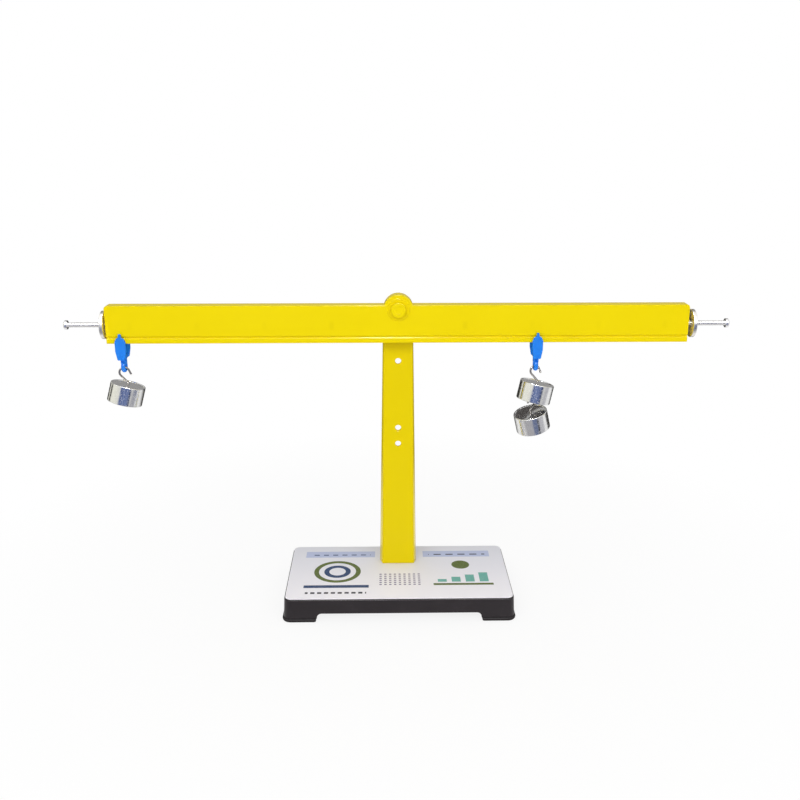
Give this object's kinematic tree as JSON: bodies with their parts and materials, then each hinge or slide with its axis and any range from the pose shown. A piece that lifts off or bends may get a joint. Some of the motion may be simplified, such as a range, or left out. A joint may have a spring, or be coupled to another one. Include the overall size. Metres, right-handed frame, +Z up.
{
  "type": "lever balance",
  "caption": "Teaching lever balance: a beam pivoted on a post over a flat base, with sliding runners, hooked metal weights and screw-adjusted balance nuts at its ends.",
  "frame": {"origin": "on the table under the middle of the base, the middle of the overall box", "axes": "+X along the beam to the right as the user faces it, +Y away from the user towards the post, +Z up"},
  "size_m": [0.5504, 0.1046, 0.2694],
  "materials": {
    "base_plastic": "satin moulded",
    "label_print": "printed sheet",
    "pad_rubber": "matte",
    "yellow_plastic": "gloss moulded",
    "blue_plastic": "satin moulded",
    "nickel_plate": "bright plated",
    "zinc_steel": "plated"
  },
  "bodies": {
    "stand": {"base_shell": "base_plastic", "base_label": "label_print", "foot_pad_front_left": "pad_rubber", "foot_pad_front_right": "pad_rubber", "foot_pad_rear_left": "pad_rubber", "foot_pad_rear_right": "pad_rubber", "post": "yellow_plastic", "post_screw_left": "zinc_steel", "post_screw_right": "zinc_steel", "pivot_axle": "zinc_steel", "pivot_nut": "zinc_steel", "pivot_washer": "zinc_steel", "pivot_cap": "yellow_plastic"},
    "beam": {"beam": "yellow_plastic", "balance_screw_left": "nickel_plate", "balance_screw_right": "nickel_plate", "lock_nut_left": "zinc_steel", "lock_nut_right": "zinc_steel"},
    "nut_left": {"balance_nut_left": "nickel_plate"},
    "nut_right": {"balance_nut_right": "nickel_plate"},
    "runner_left": {"hanger_left": "blue_plastic"},
    "runner_right": {"hanger_right": "blue_plastic"},
    "weight_left": {"weight_left_body": "nickel_plate", "weight_left_hook": "nickel_plate", "weight_left_bar": "nickel_plate"},
    "weight_upper": {"weight_upper_body": "nickel_plate", "weight_upper_hook": "nickel_plate", "weight_upper_bar": "nickel_plate"},
    "weight_lower": {"weight_lower_body": "nickel_plate", "weight_lower_hook": "nickel_plate", "weight_lower_bar": "nickel_plate"}
  },
  "joints": [
    {"name": "beam_tilt", "type": "hinge", "parent": "stand", "child": "beam", "pos_m": [0, 0, 0.2572], "axis": [0, 1, 0], "range_deg": [-20, 20]},
    {"name": "nut_left_travel", "type": "slide", "parent": "beam", "child": "nut_left", "axis": [-1, 0, 0], "range_m": [-0.0006, 0.0281]},
    {"name": "nut_right_travel", "type": "slide", "parent": "beam", "child": "nut_right", "axis": [1, 0, 0], "range_m": [-0.0026, 0.0261]},
    {"name": "runner_left_slide", "type": "slide", "parent": "beam", "child": "runner_left", "axis": [1, 0, 0], "range_m": [-0.0045, 0.1885]},
    {"name": "runner_right_slide", "type": "slide", "parent": "beam", "child": "runner_right", "axis": [1, 0, 0], "range_m": [-0.0753, 0.1177]},
    {"name": "weight_left_swing", "type": "hinge", "parent": "runner_left", "child": "weight_left", "pos_m": [-0.2285, 0.00605, 0.2052], "axis": [0, 1, 0], "range_deg": [-30, 25]},
    {"name": "weight_upper_swing", "type": "hinge", "parent": "runner_right", "child": "weight_upper", "pos_m": [0.1153, 0.00605, 0.2052], "axis": [0, 1, 0], "range_deg": [-30, 25]},
    {"name": "weight_lower_swing", "type": "hinge", "parent": "weight_upper", "child": "weight_lower", "pos_m": [0.11408, 0.00662, 0.17945], "axis": [0.6589, -0.7463, -0.0944], "range_deg": [-30, 12]}
  ]
}
